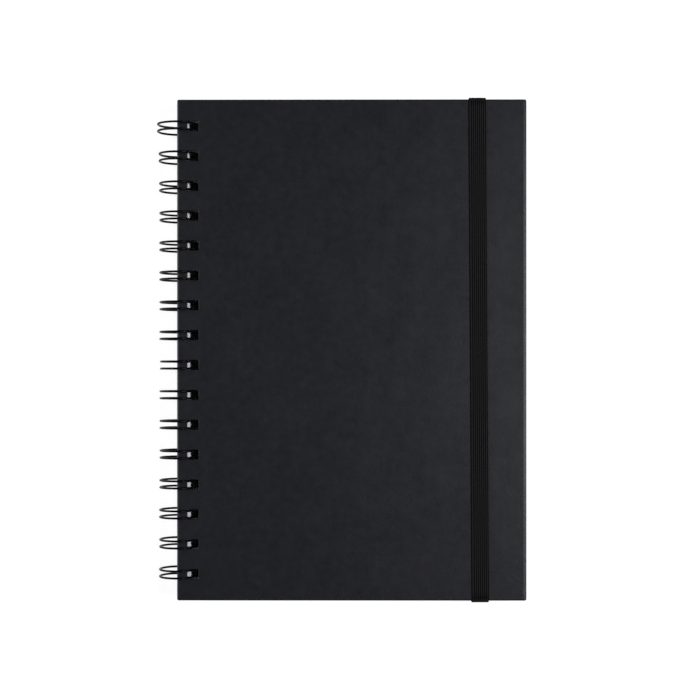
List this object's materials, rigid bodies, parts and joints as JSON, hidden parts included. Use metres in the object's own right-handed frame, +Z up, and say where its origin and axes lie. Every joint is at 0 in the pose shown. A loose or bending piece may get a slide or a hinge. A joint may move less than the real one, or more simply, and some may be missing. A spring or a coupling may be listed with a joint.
{
  "type": "wire-bound sketchbook",
  "caption": "Hardback sketchbook with twin-loop wire binding, punched leaves, a cover that turns flat on its back and an elastic closing band.",
  "frame": {"origin": "on the table under the middle of the closed book's bounding box", "axes": "+X from the wire binding to the fore-edge, +Y to the head of the book, +Z up through the front cover; the book leans 0.8 degrees about Y, as it lies on its loops and on its band"},
  "size_m": [0.1568, 0.2144, 0.0163],
  "materials": {
    "black_leatherette": "satin",
    "greyboard": "matte",
    "endpaper": "matte",
    "drawing_paper": "matte",
    "black_wire": "gloss",
    "black_elastic": "matte"
  },
  "bodies": {
    "book_block": {"binding_wire": "black_wire", "back_cover_skin": "black_leatherette", "back_board": "greyboard", "back_endpaper": "endpaper", "leaf_stack": "drawing_paper", "elastic_end_head": "black_elastic", "elastic_end_tail": "black_elastic"},
    "front_cover": {"front_cover_skin": "black_leatherette", "front_board": "greyboard", "front_endpaper": "endpaper"},
    "elastic_band": {"elastic_band": "black_elastic"},
    "leaf_01": {"leaf_01": "drawing_paper"},
    "leaf_02": {"leaf_02": "drawing_paper"},
    "leaf_03": {"leaf_03": "drawing_paper"},
    "leaf_04": {"leaf_04": "drawing_paper"},
    "leaf_05": {"leaf_05": "drawing_paper"},
    "leaf_06": {"leaf_06": "drawing_paper"},
    "leaf_07": {"leaf_07": "drawing_paper"},
    "leaf_08": {"leaf_08": "drawing_paper"},
    "leaf_09": {"leaf_09": "drawing_paper"},
    "leaf_10": {"leaf_10": "drawing_paper"}
  },
  "joints": [
    {"name": "cover_hinge", "type": "hinge", "parent": "book_block", "child": "front_cover", "pos_m": [-0.07027, 0, 0.00817], "axis": [0, -1, 0], "range_deg": [0, 181.6]},
    {"name": "leaf_01_turn", "type": "hinge", "parent": "book_block", "child": "leaf_01", "pos_m": [-0.07027, 0, 0.00817], "axis": [0, -1, 0], "range_deg": [0, 180.34]},
    {"name": "leaf_02_turn", "type": "hinge", "parent": "book_block", "child": "leaf_02", "pos_m": [-0.07027, 0, 0.00817], "axis": [0, -1, 0], "range_deg": [0, 179.16]},
    {"name": "leaf_03_turn", "type": "hinge", "parent": "book_block", "child": "leaf_03", "pos_m": [-0.07027, 0, 0.00817], "axis": [0, -1, 0], "range_deg": [0, 177.98]},
    {"name": "leaf_04_turn", "type": "hinge", "parent": "book_block", "child": "leaf_04", "pos_m": [-0.07027, 0, 0.00817], "axis": [0, -1, 0], "range_deg": [0, 176.8]},
    {"name": "leaf_05_turn", "type": "hinge", "parent": "book_block", "child": "leaf_05", "pos_m": [-0.07027, 0, 0.00817], "axis": [0, -1, 0], "range_deg": [0, 175.62]},
    {"name": "leaf_06_turn", "type": "hinge", "parent": "book_block", "child": "leaf_06", "pos_m": [-0.07027, 0, 0.00817], "axis": [0, -1, 0], "range_deg": [0, 174.44]},
    {"name": "leaf_07_turn", "type": "hinge", "parent": "book_block", "child": "leaf_07", "pos_m": [-0.07027, 0, 0.00817], "axis": [0, -1, 0], "range_deg": [0, 173.26]},
    {"name": "leaf_08_turn", "type": "hinge", "parent": "book_block", "child": "leaf_08", "pos_m": [-0.07027, 0, 0.00817], "axis": [0, -1, 0], "range_deg": [0, 172.08]},
    {"name": "leaf_09_turn", "type": "hinge", "parent": "book_block", "child": "leaf_09", "pos_m": [-0.07027, 0, 0.00817], "axis": [0, -1, 0], "range_deg": [0, 170.9]},
    {"name": "leaf_10_turn", "type": "hinge", "parent": "book_block", "child": "leaf_10", "pos_m": [-0.07027, 0, 0.00817], "axis": [0, -1, 0], "range_deg": [0, 169.72]},
    {"name": "band_pull", "type": "slide", "parent": "book_block", "child": "elastic_band", "axis": [0.9999, 0, -0.0139], "range_m": [0, 0.027], "stiffness_N_per_m": 60, "deforming": ["elastic_band"]}
  ],
  "couplings": [
    {"joint": "leaf_01_turn", "follows": "cover_hinge", "ratio": 0.993},
    {"joint": "leaf_02_turn", "follows": "cover_hinge", "ratio": 0.9865},
    {"joint": "leaf_03_turn", "follows": "cover_hinge", "ratio": 0.98},
    {"joint": "leaf_04_turn", "follows": "cover_hinge", "ratio": 0.9735},
    {"joint": "leaf_05_turn", "follows": "cover_hinge", "ratio": 0.967},
    {"joint": "leaf_06_turn", "follows": "cover_hinge", "ratio": 0.9605},
    {"joint": "leaf_07_turn", "follows": "cover_hinge", "ratio": 0.954},
    {"joint": "leaf_08_turn", "follows": "cover_hinge", "ratio": 0.9475},
    {"joint": "leaf_09_turn", "follows": "cover_hinge", "ratio": 0.941},
    {"joint": "leaf_10_turn", "follows": "cover_hinge", "ratio": 0.9345}
  ]
}
